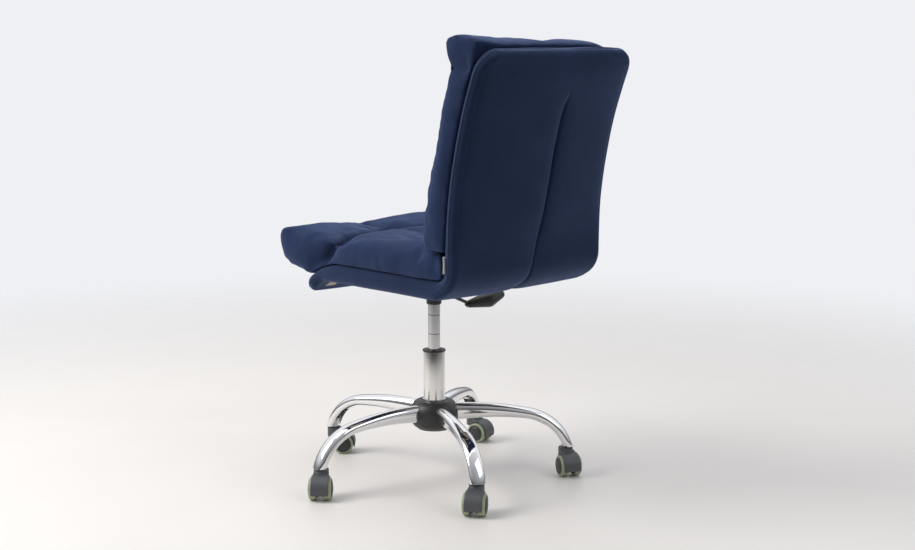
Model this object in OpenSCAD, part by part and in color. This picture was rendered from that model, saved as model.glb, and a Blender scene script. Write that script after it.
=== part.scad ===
// Swivel office chair: an upholstered one-piece shell with two loose tufted cushions, a gas lift
// and a five-star base on twin-wheel casters.
// The front of the chair faces -Y, the sitter's left is +X and the floor is z = 0.

/* [Casters] */
// Diameter of a wheel over its tread
wheel_d = 50; // [42:1:62]
// Thickness of the soft tread
tread_t = 5.6; // [3:0.2:8]
// Width of the tread
tread_w = 16; // [10:0.5:19]
// Width of one wheel
wheel_w = 24; // [20:0.5:30]
// Diameter of the axle
axle_d = 6; // [5:0.5:8]
// Distance from the stem to the axle
trail = 22; // [15:1:30]
// Thickness of the hood's middle web
web_t = 6; // [4:0.5:8]
// Thickness of the hood's curved guard
hood_t = 2.8; // [2:0.2:4]
// Width of the hood's curved guard
hood_w = 40; // [30:1:48]
// Diameter of the hood's stem block
block_d = 34; // [24:1:38]
// Height of the stem block above the top of the wheels
block_rise = 14; // [10:1:22]
// Diameter of the stem
stem_d = 11; // [8:0.5:12]

/* [Base] */
// Distance from the column to each caster stem
stem_r = 309; // [260:1:350]
// Gap between a caster's hood and the leg above it
leg_gap = 3; // [2:0.5:6]
// Height of a leg at the hub
leg_root_h = 43; // [34:1:50]
// Height of a leg past its arch
leg_tip_h = 25; // [22:1:32]
// Width of a leg at the hub
leg_root_w = 26; // [20:1:31]
// Width of a leg at its tip
leg_tip_w = 39; // [30:1:46]
// Wall of a leg
leg_wall = 1.8; // [1.2:0.1:2.4]
// Radius of a leg's long arch
arch_r = 750; // [650:10:1200]
// Radius of a leg's downward bend
bend_down_r = 117; // [90:1:130]
// Wall of the hub tube
hub_wall = 2.5; // [2:0.1:4]
// Length of the hub tube
hub_len = 72; // [64:1:84]
// Radius of the hub's plastic cover
cover_r = 58; // [50:1:66]
// Wall of the hub's plastic cover
cover_wall = 3; // [2:0.2:4]

/* [Gas lift] */
// Diameter of the outer column
column_d = 50; // [44:1:56]
// Wall of the outer column
column_wall = 2; // [1.5:0.1:3]
// Length of the outer column
column_len = 185; // [170:1:220]
// Diameter of the chromed cylinder
cylinder_d = 28; // [25:0.5:32]
// Wall of the chromed cylinder
cylinder_wall = 2; // [1.5:0.1:2.5]
// Diameter of the piston rod
rod_d = 10; // [8:0.5:12]
// Height adjustment
lift_stroke = 85; // [60:1:100]
// Cylinder that stays in view with the lift right down
lift_spare = 22; // [14:1:30]

/* [Seat fixing] */
// Height from the underside of the collar to the underside of the shell
fixing_h = 64; // [60:1:76]
// Diameter of the collar
collar_d = 35; // [33:1:40]
// Length of the seat plate, front to back
plate_l = 190; // [160:1:230]
// Width of the seat plate
plate_w = 160; // [140:1:200]
// Thickness of the seat plate
plate_t = 3; // [2:0.5:5]
// Diameter of the seat bolts
bolt_d = 6; // [5:0.5:8]
// Reach of the height lever from the column
lever_reach = 222; // [200:1:230]

/* [Shell] */
// Width of the shell
shell_w = 466; // [420:1:520]
// Thickness of the seat
seat_t = 42; // [38:1:50]
// Thickness of the back
back_t = 34; // [32:1:42]
// Height of the top of the back above the seat
back_h = 490; // [400:1:560]
// Distance from the column to the back's inner face
back_y = 273; // [240:1:300]
// Depth of the seat from its front edge to the back
seat_depth = 455; // [400:1:480]
// Radius of the back's outward curve
back_r = 1100; // [950:10:1600]
// Thickness of the moulded board inside
board_t = 12; // [8:1:14]
// Padding over the board's inner side
pad_t = 14; // [10:1:16]

/* [Cushions] */
// Thickness of the seat cushion
seat_cushion_t = 64; // [50:1:80]
// Thickness of the back cushion
back_cushion_t = 57; // [44:1:70]
// Overhang of the seat cushion past the shell's front edge
overhang = 98; // [60:1:110]
// Height of the back cushion above the shell's top
cushion_rise = 14; // [6:1:40]
// Distance of the cushions' sides from the shell's sides
cushion_inset = 3; // [0:1:20]

/* [Hidden] */
$fn = 64;
eps = 0.01;

// Directions of the legs, and the way each caster trails, seen from above
leg_count = 5;
base_turn = -8;
caster_heading = [45, 35, 63, 102, 137];

// Fits
running_gap = 0.05;
side_gap = 1.2;
guard_gap = 1.6;
part_gap = 0.5;

// Caster heights
wheel_r = wheel_d / 2;
core_r = wheel_r - tread_t;
caster_h = wheel_d + block_rise;
wheel_y = web_t / 2 + side_gap;
web_h = block_rise - 4;

// Stem sockets
socket_r = stem_d / 2 + 3.5;
socket_h = 16;
socket_z = caster_h + leg_gap - 1;
socket_top = socket_z + socket_h;
tip_offset = 5;

// Leg centreline: a long arch, a tighter bend down and a short straight tip
bend_a0 = 8;
bend_a1 = 64;
leg_end_z = caster_h + leg_gap;
tip_rise = 14;
tip_x = stem_r + tip_offset;
bend_end = [tip_x - tip_rise / tan(bend_a1), leg_end_z + tip_rise];
bend_start = [bend_end.x - bend_down_r * (sin(bend_a1) - sin(bend_a0)),
    bend_end.y + bend_down_r * (cos(bend_a0) - cos(bend_a1))];
column_r = column_d / 2;
hub_r = column_r + hub_wall;
root_x = hub_r;
root_a = asin(sin(bend_a0) - (bend_start.x - root_x) / arch_r);
root_z = bend_start.y - arch_r * (cos(root_a) - cos(bend_a0));

// Heights up the column
hub_bottom = root_z - hub_len / 2 + 2;
hub_top = hub_bottom + hub_len;
column_bottom = hub_bottom;
column_top = column_bottom + column_len;
floor_t = 3;
bearing_t = 5;
bearing_top = column_bottom + floor_t + bearing_t;
neck_r = rod_d / 2 - 1;
flange_t = 4;
cylinder_r = cylinder_d / 2;
bore_r = cylinder_r - cylinder_wall;
collar_z = column_top + flange_t + lift_stroke + lift_spare;
lever_room = 29; // over the collar, for the valve button, the lever and its boss
collar_h = fixing_h - plate_t - lever_room;
taper_start = collar_z + 4;
cylinder_top = collar_z + collar_h + 2;
cylinder_bottom = bearing_top + 6 + lift_stroke;
piston_t = 10;
piston_z = cylinder_bottom + 12;
button_r = 3;
button_rise = 6;

// Seat fixing
plate_top = collar_z + fixing_h;
plate_bottom = plate_top - plate_t;
box_bottom = collar_z + 22;
box_w = 76;
box_l = 68;
box_wall = 2.5;
plate_y = 20;
bolt_x = plate_w / 2 - 16;
bolt_y = plate_l / 2 - 18;
lever_r = 4;
lever_pivot = [-26, cylinder_top + button_rise + part_gap + lever_r];
lever_knee = [-62, collar_z + 10];
lever_end = [-118, collar_z - 15];
pivot_r = 2.5;
boss_r = 6;

// Shell side curve
seat_top = plate_top + seat_t;
bend_r = 28;
outer_bend_r = 80;
front_r = 180;
front_a = 38;
lip_r = 15;
front_y = back_y - seat_depth;
front_c = [front_y + lip_r + (front_r - lip_r) * sin(front_a), seat_top - front_r];
lip_c = [front_c.x - (front_r - lip_r) * sin(front_a), front_c.y + (front_r - lip_r) * cos(front_a)];
bend_c = [back_y - bend_r, seat_top + bend_r];
outer_c = [back_y + back_t - outer_bend_r, plate_top + outer_bend_r];
back_c = [back_y + back_r, seat_top + bend_r];
top_a = asin((back_h - bend_r) / back_r);
board_inset = 14;
board_front_a = 30;
split_d = pad_t + board_t / 2;
corner_r = 55;
front_corner_r = 30;
cushion_w = shell_w - 2 * cushion_inset;
cushion_gap = 1;
lining_t = 1;
arc_steps = 14;

// ---------- small helpers ----------

// Points along an arc in a plane, from angle a0 to a1
function arc(c, r, a0, a1, n = arc_steps) =
    [for (i = [0 : n]) let (a = a0 + (a1 - a0) * i / n) c + r * [cos(a), sin(a)]];

function reversed(list) = [for (i = [len(list) - 1 : -1 : 0]) list[i]];

// Direction of leg i, counted from 1
function leg_angle(i) = base_turn + 360 / leg_count * (i - 1);

// A side profile, drawn as (y, z) points, across a width of the chair
module across(w) {
    translate([-w / 2, 0, 0])
        rotate([90, 0, 90])
            linear_extrude(w) children();
}

module tube(r_out, r_in, z0, z1) {
    translate([0, 0, z0])
        difference() {
            cylinder(r = r_out, h = z1 - z0);
            translate([0, 0, -1]) cylinder(r = r_in, h = z1 - z0 + 2);
        }
}

// ---------- legs ----------

// Stations along a leg's centreline: [x, z, downward heading, half height]
function leg_arch(n = 8) = [for (i = [1 : n - 1])
    let (a = root_a + (bend_a0 - root_a) * i / n)
    [bend_start.x - arch_r * (sin(bend_a0) - sin(a)), bend_start.y + arch_r * (cos(a) - cos(bend_a0)), a,
        leg_root_h / 2 + (leg_tip_h - leg_root_h) / 2 * i / n]];
function leg_bend(n = 9) = [for (i = [0 : n])
    let (a = bend_a0 + (bend_a1 - bend_a0) * i / n)
    [bend_end.x - bend_down_r * (sin(bend_a1) - sin(a)),
        bend_end.y + bend_down_r * (cos(a) - cos(bend_a1)), a, leg_tip_h / 2]];
leg_stations = concat(leg_arch(), leg_bend());

// A point at a distance u above the centreline at station s
function off_leg(s, u) = [s[0] + u * sin(s[2]), s[1] + u * cos(s[2])];

// Side view of a leg, drawn in by d and carried on past both ends by extra
module leg_side(d, extra = 0) {
    half_cut = (leg_tip_h / 2 - d) / sin(bend_a1);
    end_x = tip_x + extra / tan(bend_a1);
    root_half = leg_root_h / 2 - d;
    polygon(concat(
        [[root_x - extra, root_z + root_half]],
        [for (s = leg_stations) off_leg(s, s[3] - d)],
        [[end_x + half_cut, leg_end_z - extra], [end_x - half_cut, leg_end_z - extra]],
        reversed([for (s = leg_stations) off_leg(s, d - s[3])]),
        [[root_x - extra, root_z - root_half]]));
}

// Plan view of a leg, drawn in by d
module leg_plan(d) {
    root = leg_root_w / 2 - d;
    tip = leg_tip_w / 2 - d;
    far = tip_x + leg_tip_h;
    polygon([[0, -root], [far, -tip], [far, tip], [0, root]]);
}

// A leg's shape, drawn in by d and carried on past both ends by extra
module leg_body(d, extra = 0) {
    intersection() {
        translate([0, leg_tip_w, 0]) rotate([90, 0, 0]) linear_extrude(2 * leg_tip_w) leg_side(d, extra);
        linear_extrude(root_z + leg_root_h) leg_plan(d);
    }
}

// The open underside of a leg's bend
module leg_slot() {
    slot_w = leg_tip_w - 2 * leg_wall - 3;
    last = len(leg_stations) - 1;
    open = [for (k = [last - 4 : last]) leg_stations[k]];
    translate([0, slot_w / 2, 0])
        rotate([90, 0, 0])
            linear_extrude(slot_w)
                polygon(concat(
                    [for (s = open) off_leg(s, -2)],
                    [[tip_x - 4, leg_end_z - 2], [tip_x - leg_tip_h, leg_end_z - 2]],
                    reversed([for (s = open) off_leg(s, -s[3] - 6)])));
}

module leg(i) {
    color("silver")
        rotate([0, 0, leg_angle(i)])
            difference() {
                leg_body(0);
                difference() {
                    union() {
                        leg_body(leg_wall, 2);
                        leg_slot();
                    }
                    translate([stem_r - socket_r - 2, -leg_tip_w / 2, socket_top])
                        cube([leg_tip_w, leg_tip_w, 6]);
                }
            }
}

module leg_1() { leg(1); }
module leg_2() { leg(2); }
module leg_3() { leg(3); }
module leg_4() { leg(4); }
module leg_5() { leg(5); }

module stem_sockets() {
    color("gainsboro")
        for (i = [1 : leg_count])
            rotate([0, 0, leg_angle(i)])
                translate([stem_r, 0, 0])
                    tube(socket_r, stem_d / 2 + running_gap, socket_z, socket_top);
}

// ---------- hub ----------

module hub_tube() {
    color("silver") tube(hub_r, column_r, hub_bottom, hub_top);
}

// Outline of the hub cover at a distance d inside its outer face
function cover_outline(d) = [for (a = [90 : -9 : -72])
    [hub_r + part_gap + (cover_r - d - hub_r - part_gap) * cos(a),
        root_z + 2 + (a > 0 ? hub_top - 4 - root_z - d : 34) * sin(a)]];

module hub_cover() {
    outer = cover_outline(0);
    inner = reversed(cover_outline(cover_wall));
    slot_gap = 1.5;
    slot_w = leg_root_w + 2 * slot_gap + (leg_tip_w - leg_root_w) * cover_r / tip_x;
    rim_a = asin(sin(bend_a0) - (bend_start.x - cover_r) / arch_r);
    rim_share = (rim_a - root_a) / (bend_a0 - root_a);
    rim_leg_z = bend_start.y + arch_r * (cos(rim_a) - cos(bend_a0));
    slot_top = rim_leg_z + (leg_root_h - (leg_root_h - leg_tip_h) * rim_share) / 2 + slot_gap;
    color([0.12, 0.12, 0.13])
        difference() {
            rotate_extrude($fn = 96) polygon(concat(outer, inner));
            for (i = [1 : leg_count])
                rotate([0, 0, leg_angle(i)])
                    rotate([90, 0, 90])
                        linear_extrude(cover_r + 5)
                            translate([-slot_w / 2, slot_top - hub_len]) square([slot_w, hub_len]);
        }
}

// ---------- gas lift ----------

module column_tube() {
    color("silver")
        union() {
            tube(column_r, column_r - column_wall, column_bottom, column_top);
            tube(column_r - column_wall + eps, neck_r + running_gap, column_bottom, column_bottom + floor_t);
        }
}

module column_bush() {
    color([0.1, 0.1, 0.1])
        union() {
            tube(column_r + 2, cylinder_r + running_gap, column_top, column_top + flange_t);
            tube(column_r - column_wall, cylinder_r + running_gap, column_top - 58, column_top + eps);
        }
}

module thrust_bearing() {
    color("gray") tube(12, neck_r + running_gap, column_bottom + floor_t, bearing_top);
}

module retaining_clip() {
    color("dimgray") tube(8, neck_r, column_bottom - 2.3, column_bottom - 0.3);
}

module piston_rod() {
    color("lightgray")
        union() {
            translate([0, 0, column_bottom - 4]) cylinder(r = neck_r, h = bearing_top - column_bottom + 5);
            translate([0, 0, bearing_top + 0.3]) cylinder(r = rod_d / 2, h = piston_z - bearing_top);
            translate([0, 0, piston_z]) cylinder(r = bore_r - running_gap, h = piston_t);
        }
}

module gas_cylinder() {
    groove_w = 1.4;
    groove_d = 0.5;
    taper = 0.8;
    color("gainsboro")
        difference() {
            union() {
                translate([0, 0, cylinder_bottom])
                    cylinder(r = cylinder_r, h = taper_start - cylinder_bottom);
                translate([0, 0, taper_start])
                    cylinder(r1 = cylinder_r, r2 = cylinder_r - taper, h = cylinder_top - taper_start);
            }
            tube(cylinder_r + 1, cylinder_r - groove_d, collar_z - 25, collar_z - 25 + groove_w);
            tube(cylinder_r + 1, cylinder_r - groove_d, collar_z - 70, collar_z - 70 + groove_w);
            translate([0, 0, cylinder_bottom + 4])
                cylinder(r = bore_r, h = cylinder_top - cylinder_bottom - 18);
            translate([0, 0, cylinder_bottom - 1]) cylinder(r = rod_d / 2 + running_gap, h = 6);
            translate([0, 0, cylinder_top - 20]) cylinder(r = button_r + running_gap, h = 21);
        }
}

module valve_button() {
    color("darkgray")
        translate([0, 0, cylinder_top - 13]) cylinder(r = button_r, h = 13 + button_rise);
}

// ---------- seat fixing and height lever ----------

module taper_collar() {
    taper = 0.8;
    rim = 2;
    color([0.12, 0.12, 0.12])
        difference() {
            union() {
                translate([0, 0, collar_z]) cylinder(r1 = collar_d / 2 - rim, r2 = collar_d / 2, h = rim);
                translate([0, 0, collar_z + rim]) cylinder(r = collar_d / 2, h = collar_h - rim);
            }
            translate([0, 0, collar_z - 1]) cylinder(r = cylinder_r, h = taper_start - collar_z + 1);
            translate([0, 0, taper_start])
                cylinder(r1 = cylinder_r, r2 = cylinder_r - taper, h = cylinder_top - taper_start);
        }
}

module mechanism_box() {
    color([0.15, 0.15, 0.15])
        difference() {
            translate([-box_w / 2, -box_l / 2, box_bottom]) cube([box_w, box_l, plate_bottom - box_bottom]);
            translate([-box_w / 2 + box_wall, -box_l / 2 + box_wall, box_bottom + box_wall])
                cube([box_w - 2 * box_wall, box_l - 2 * box_wall, plate_bottom - box_bottom]);
            translate([0, 0, box_bottom - 1]) cylinder(r = collar_d / 2, h = box_wall + 2);
            translate([-box_w / 2 - 1, -boss_r - 2, box_bottom - 1])
                cube([14, 2 * boss_r + 4, lever_pivot.y + lever_r + 3 - box_bottom]);
            translate([lever_pivot.x, 0, lever_pivot.y])
                rotate([90, 0, 0]) cylinder(r = pivot_r, h = box_l + 2, center = true);
        }
}

module lever_pin() {
    color("silver")
        translate([lever_pivot.x, 0, lever_pivot.y])
            rotate([90, 0, 0]) cylinder(r = pivot_r, h = box_l, center = true);
}

// A round bar between two (x, z) points in the plane of the lever
module bar(p, q, r, extra = 0) {
    l = norm(q - p);
    translate([p.x, 0, p.y])
        rotate([0, atan2(q.x - p.x, q.y - p.y), 0]) cylinder(r = r, h = l + extra);
}

module lever_rod() {
    tip = [3, lever_pivot.y];
    color([0.2, 0.2, 0.2])
        difference() {
            union() {
                bar(tip, lever_pivot, lever_r);
                bar(lever_pivot, lever_knee, lever_r, 1);
                bar(lever_end, lever_knee, lever_r, 1);
                translate([lever_pivot.x, 0, lever_pivot.y])
                    rotate([90, 0, 0]) cylinder(r = boss_r, h = 12, center = true);
            }
            translate([lever_pivot.x, 0, lever_pivot.y])
                rotate([90, 0, 0]) cylinder(r = pivot_r + running_gap, h = 20, center = true);
        }
}

module lever_paddle() {
    grip = [-lever_reach + 50, lever_end.y + 2];
    end = [-lever_reach + 11, lever_end.y + 13];
    color([0.06, 0.06, 0.06])
        difference() {
            hull() {
                for (side = [-1, 1]) {
                    translate([lever_end.x + 4, side * 4, lever_end.y]) sphere(r = 8, $fn = 24);
                    translate([grip.x, side * 11, grip.y]) sphere(r = 15, $fn = 24);
                    translate([end.x, side * 9, end.y]) sphere(r = 11, $fn = 24);
                }
            }
            bar(lever_knee, lever_end, lever_r);
        }
}

module bolt_places() {
    for (x = [-bolt_x, bolt_x])
        for (y = [plate_y - bolt_y, plate_y + bolt_y])
            translate([x, y, 0]) children();
}

module seat_plate() {
    color([0.16, 0.16, 0.16])
        difference() {
            translate([-plate_w / 2, plate_y - plate_l / 2, plate_bottom]) cube([plate_w, plate_l, plate_t]);
            bolt_places() translate([0, 0, plate_bottom - 1]) cylinder(r = bolt_d / 2 + 0.3, h = plate_t + 2);
            for (x = [-plate_w / 2, plate_w / 2])
                translate([x, plate_y, plate_bottom - 1]) cylinder(r = plate_l / 2 - 48, h = plate_t + 2);
        }
}

// Bolts run up through the seat into tee nuts in the board
board_bottom = seat_top - pad_t - board_t;
board_top = seat_top - pad_t;
nut_flange_t = 1.5;
nut_r = bolt_d / 2 + 1.5;

module seat_bolts() {
    color("dimgray")
        bolt_places() {
            translate([0, 0, plate_bottom - 4]) cylinder(r = bolt_d * 0.9, h = 4, $fn = 6);
            translate([0, 0, plate_bottom - eps]) cylinder(r = bolt_d / 2, h = board_top - plate_bottom);
        }
}

module tee_nuts() {
    color("gray")
        bolt_places() {
            tube(nut_r, bolt_d / 2, board_bottom, board_top + eps);
            tube(9, bolt_d / 2, board_top, board_top + nut_flange_t);
        }
}

// ---------- upholstered shell ----------

// The shell's side curve at a depth d behind its inner face, from the front edge to the top
function front_part(d, a0) = arc(front_c, front_r - d, 90 + a0, 90);
function bend_part(d) = arc(bend_c, bend_r + d, -90, 0);
function back_part(d, a1) = [for (i = [1 : arc_steps]) let (a = a1 * i / arc_steps)
    back_c + (back_r - d) * [-cos(a), sin(a)]];
function side_curve(d, a0, a1) = concat(front_part(d, a0), bend_part(d), back_part(d, a1));

module shell_profile() {
    polygon(concat(
        side_curve(0, front_a, top_a),
        reversed(back_part(back_t, top_a)),
        reversed(arc(outer_c, outer_bend_r, -90, 0)),
        [[lip_c.x + 28, plate_top]],
        reversed(arc(lip_c, lip_r, 90 + front_a, 340))));
}

// The side of the shell's thickness that lies in front of the depth d
module inner_side(d) {
    polygon(concat(side_curve(-3, 62, top_a + 3), reversed(side_curve(d, 62, top_a + 3))));
}

module board_profile() {
    end_a = top_a - board_inset / back_r * 180 / PI;
    polygon(concat(
        side_curve(pad_t, board_front_a, end_a),
        reversed(side_curve(pad_t + board_t, board_front_a, end_a))));
}

// Rounds the top corners of the back and the front corners of the seat
module corners(w, inset) {
    top = seat_top + back_h - inset;
    front = front_y + inset;
    r = corner_r - inset;
    f = front_corner_r - inset / 2;
    intersection() {
        children();
        translate([0, back_y + 250, 0])
            rotate([90, 0, 0])
                linear_extrude(800) {
                    translate([-w / 2, 0]) square([w, top - r]);
                    translate([-w / 2 + r, 0]) square([w - 2 * r, top]);
                    for (x = [-w / 2 + r, w / 2 - r]) translate([x, top - r]) circle(r = r);
                }
        linear_extrude(seat_top + back_h + 10) {
            translate([-w / 2, front + f]) square([w, 800]);
            translate([-w / 2 + f, front]) square([w - 2 * f, 800]);
            for (x = [-w / 2 + f, w / 2 - f]) translate([x, front + f]) circle(r = f);
        }
    }
}

module board_solid() {
    corners(shell_w - 2 * board_inset, board_inset) across(shell_w - 2 * board_inset) board_profile();
}

module shell_board() {
    color("burlywood")
        difference() {
            board_solid();
            bolt_places() translate([0, 0, board_bottom - 1]) cylinder(r = nut_r, h = board_t + 2);
        }
}

module shell_inner_cover() {
    color([0.13, 0.19, 0.36])
        difference() {
            corners(shell_w, 0)
                across(shell_w)
                    intersection() {
                        shell_profile();
                        inner_side(split_d);
                    }
            board_solid();
            bolt_places() translate([0, 0, board_top - 1]) cylinder(r = 9.5, h = nut_flange_t + 2);
        }
}

module lining_solid(grow) {
    front = lip_c.x + 48;
    rear = outer_c.x - 12;
    w = shell_w - 56;
    translate([-w / 2, front, plate_top - grow]) cube([w, rear - front, lining_t + grow]);
}

module shell_outer_cover() {
    color([0.1, 0.15, 0.3])
        difference() {
            corners(shell_w, 0)
                across(shell_w)
                    difference() {
                        shell_profile();
                        inner_side(split_d);
                    }
            board_solid();
            lining_solid(1);
            bolt_places() translate([0, 0, plate_top - 1]) cylinder(r = bolt_d / 2 + 0.3, h = seat_t);
        }
}

module underside_lining() {
    color([0.72, 0.68, 0.6])
        difference() {
            lining_solid(0);
            bolt_places() translate([0, 0, plate_top - 1]) cylinder(r = bolt_d / 2 + 0.3, h = 4);
        }
}

// ---------- cushions ----------

module seat_cushion() {
    g = -cushion_gap;
    top = seat_top + seat_cushion_t;
    rear = back_y - 7;
    nose = front_y - overhang;
    bend_stop = arc(bend_c, bend_r + g, -90, -40, 6);
    color([0.16, 0.24, 0.45])
        across(cushion_w)
            polygon(concat(
                front_part(g, front_a - 3),
                bend_stop,
                [[rear, seat_top + 18], [rear, top - 16], [rear - 10, top - 8], [back_y - 60, top],
                    [nose + 60, top], [nose + 20, top - 6], [nose + 4, top - 18], [nose, top - 38],
                    [nose + 10, top - 62], [nose + 34, top - 80]]));
}

module back_cushion() {
    g = -cushion_gap;
    front = -cushion_gap - back_cushion_t;
    base_a = 1.8;
    fold_a = top_a - 5.33;
    steps = 12;
    top = seat_top + back_h + cushion_rise;
    rear_top = back_c + (back_r - g) * [-cos(top_a), sin(top_a)];
    fold = back_c + (back_r - front) * [-cos(fold_a), sin(fold_a)];
    color([0.14, 0.21, 0.4])
        across(cushion_w)
            polygon(concat(
                [for (i = [0 : steps]) let (a = base_a + (top_a - base_a) * i / steps)
                    back_c + (back_r - g) * [-cos(a), sin(a)]],
                [[rear_top.x - 16, top - 4], [fold.x + 26, top], [fold.x + 6, top - 5],
                    [fold.x - 3, top - 18]],
                [for (i = [steps : -1 : 0]) let (a = base_a + (fold_a - base_a) * i / steps)
                    back_c + (back_r - front) * [-cos(a), sin(a)]]));
}

module fabric_tag() {
    tag_h = 36;
    tag_w = 6;
    color("white")
        translate([shell_w / 2, back_y + 8, seat_top + 22]) cube([tag_w, 0.8, tag_h]);
}

// ---------- casters ----------

// Puts a caster's pieces under leg i, with the stem at the origin and the axle towards +X
module at_caster(i) {
    rotate([0, 0, leg_angle(i)])
        translate([stem_r, 0, 0])
            rotate([0, 0, caster_heading[i - 1] - leg_angle(i)]) children();
}

// Stands a revolved outline, drawn as (radius, distance from the web), on a caster's left or right side
module on_axle(side) {
    translate([trail, 0, wheel_r])
        rotate([-90 * side, 0, 0])
            translate([0, 0, wheel_y])
                rotate_extrude() children();
}

module caster_hood(i) {
    inner = wheel_r + guard_gap;
    outer = inner + hood_t;
    start_a = -20;
    end_a = 146;
    color([0.2, 0.21, 0.23])
        at_caster(i)
            difference() {
                union() {
                    translate([trail, 0, wheel_r])
                        rotate([90, 0, 0])
                            translate([0, 0, -hood_w / 2])
                                linear_extrude(hood_w)
                                    difference() {
                                        polygon(concat([[0, 0]], arc([0, 0], outer, start_a, end_a, 24)));
                                        circle(r = inner);
                                    }
                    translate([trail, web_t / 2, wheel_r])
                        rotate([90, 0, 0])
                            linear_extrude(web_t)
                                union() {
                                    polygon(concat([[0, 0]], arc([0, 0], inner + 1, start_a, end_a, 24)));
                                    circle(r = axle_d / 2 + 4);
                                }
                    translate([0, 0, caster_h - block_rise - web_h])
                        cylinder(r = block_d / 2, h = block_rise + web_h);
                    translate([0, -block_d / 2, caster_h - block_rise - 1])
                        cube([trail - 4, block_d, block_rise - 5]);
                }
                // room for the wheels under the stem block
                for (side = [-1, 1])
                    translate([trail, side * (web_t / 2 + hood_w / 2), wheel_r])
                        rotate([90, 0, 0]) cylinder(r = inner, h = hood_w, center = true);
                translate([trail, 0, wheel_r])
                    rotate([90, 0, 0]) cylinder(r = axle_d / 2, h = hood_w, center = true);
                translate([0, 0, wheel_d - 4]) cylinder(r = stem_d / 2, h = caster_h);
            }
}

module caster_pins(i) {
    color("silver")
        at_caster(i) {
            translate([0, 0, wheel_d - 4]) cylinder(r = stem_d / 2, h = socket_top - 1 - wheel_d + 4);
            translate([trail, 0, wheel_r])
                rotate([90, 0, 0])
                    cylinder(r = axle_d / 2, h = 2 * (wheel_y + wheel_w - 5), center = true);
        }
}

module wheel(i, side) {
    dome = 2;
    color([0.22, 0.23, 0.25])
        at_caster(i)
            on_axle(side)
                polygon([[axle_d / 2 + running_gap, 0], [core_r, 0], [core_r, wheel_w - dome - 0.6],
                    [core_r - 0.6, wheel_w - dome], [core_r * 0.6, wheel_w - 0.6], [0, wheel_w],
                    [0, wheel_w - 4], [axle_d / 2 + running_gap, wheel_w - 4]]);
}

module tread(i, side) {
    start = wheel_w - tread_w - 3;
    color([0.68, 0.72, 0.6])
        at_caster(i)
            on_axle(side)
                polygon([[core_r, start], [wheel_r - 1.5, start], [wheel_r, start + 1.5],
                    [wheel_r, start + tread_w - 5], [wheel_r - 0.8, start + tread_w - 2],
                    [wheel_r - 3, start + tread_w], [core_r, start + tread_w]]);
}

module caster_hood_1() { caster_hood(1); }
module caster_pins_1() { caster_pins(1); }
module wheel_left_1() { wheel(1, 1); }
module tread_left_1() { tread(1, 1); }
module wheel_right_1() { wheel(1, -1); }
module tread_right_1() { tread(1, -1); }
module caster_hood_2() { caster_hood(2); }
module caster_pins_2() { caster_pins(2); }
module wheel_left_2() { wheel(2, 1); }
module tread_left_2() { tread(2, 1); }
module wheel_right_2() { wheel(2, -1); }
module tread_right_2() { tread(2, -1); }
module caster_hood_3() { caster_hood(3); }
module caster_pins_3() { caster_pins(3); }
module wheel_left_3() { wheel(3, 1); }
module tread_left_3() { tread(3, 1); }
module wheel_right_3() { wheel(3, -1); }
module tread_right_3() { tread(3, -1); }
module caster_hood_4() { caster_hood(4); }
module caster_pins_4() { caster_pins(4); }
module wheel_left_4() { wheel(4, 1); }
module tread_left_4() { tread(4, 1); }
module wheel_right_4() { wheel(4, -1); }
module tread_right_4() { tread(4, -1); }
module caster_hood_5() { caster_hood(5); }
module caster_pins_5() { caster_pins(5); }
module wheel_left_5() { wheel(5, 1); }
module tread_left_5() { tread(5, 1); }
module wheel_right_5() { wheel(5, -1); }
module tread_right_5() { tread(5, -1); }

hub_tube();
hub_cover();
leg_1();
leg_2();
leg_3();
leg_4();
leg_5();
stem_sockets();
column_tube();
column_bush();
thrust_bearing();
retaining_clip();
piston_rod();
gas_cylinder();
valve_button();
taper_collar();
mechanism_box();
seat_plate();
seat_bolts();
tee_nuts();
lever_pin();
lever_rod();
lever_paddle();
shell_board();
shell_inner_cover();
shell_outer_cover();
underside_lining();
seat_cushion();
back_cushion();
fabric_tag();
caster_hood_1();
caster_pins_1();
wheel_left_1();
tread_left_1();
wheel_right_1();
tread_right_1();
caster_hood_2();
caster_pins_2();
wheel_left_2();
tread_left_2();
wheel_right_2();
tread_right_2();
caster_hood_3();
caster_pins_3();
wheel_left_3();
tread_left_3();
wheel_right_3();
tread_right_3();
caster_hood_4();
caster_pins_4();
wheel_left_4();
tread_left_4();
wheel_right_4();
tread_right_4();
caster_hood_5();
caster_pins_5();
wheel_left_5();
tread_left_5();
wheel_right_5();
tread_right_5();
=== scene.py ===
"""Swivel office chair: an upholstered one-piece shell with loose tufted cushions, a gas lift and a
five-star chromed base on twin-wheel casters. The sections follow the chair as it is put together,
from the room it stands in, up through the base and the lift, to the shell and its cushions."""
import math
import bmesh
import bpy
import numpy as np
from mathutils import Matrix, Vector, noise


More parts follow.
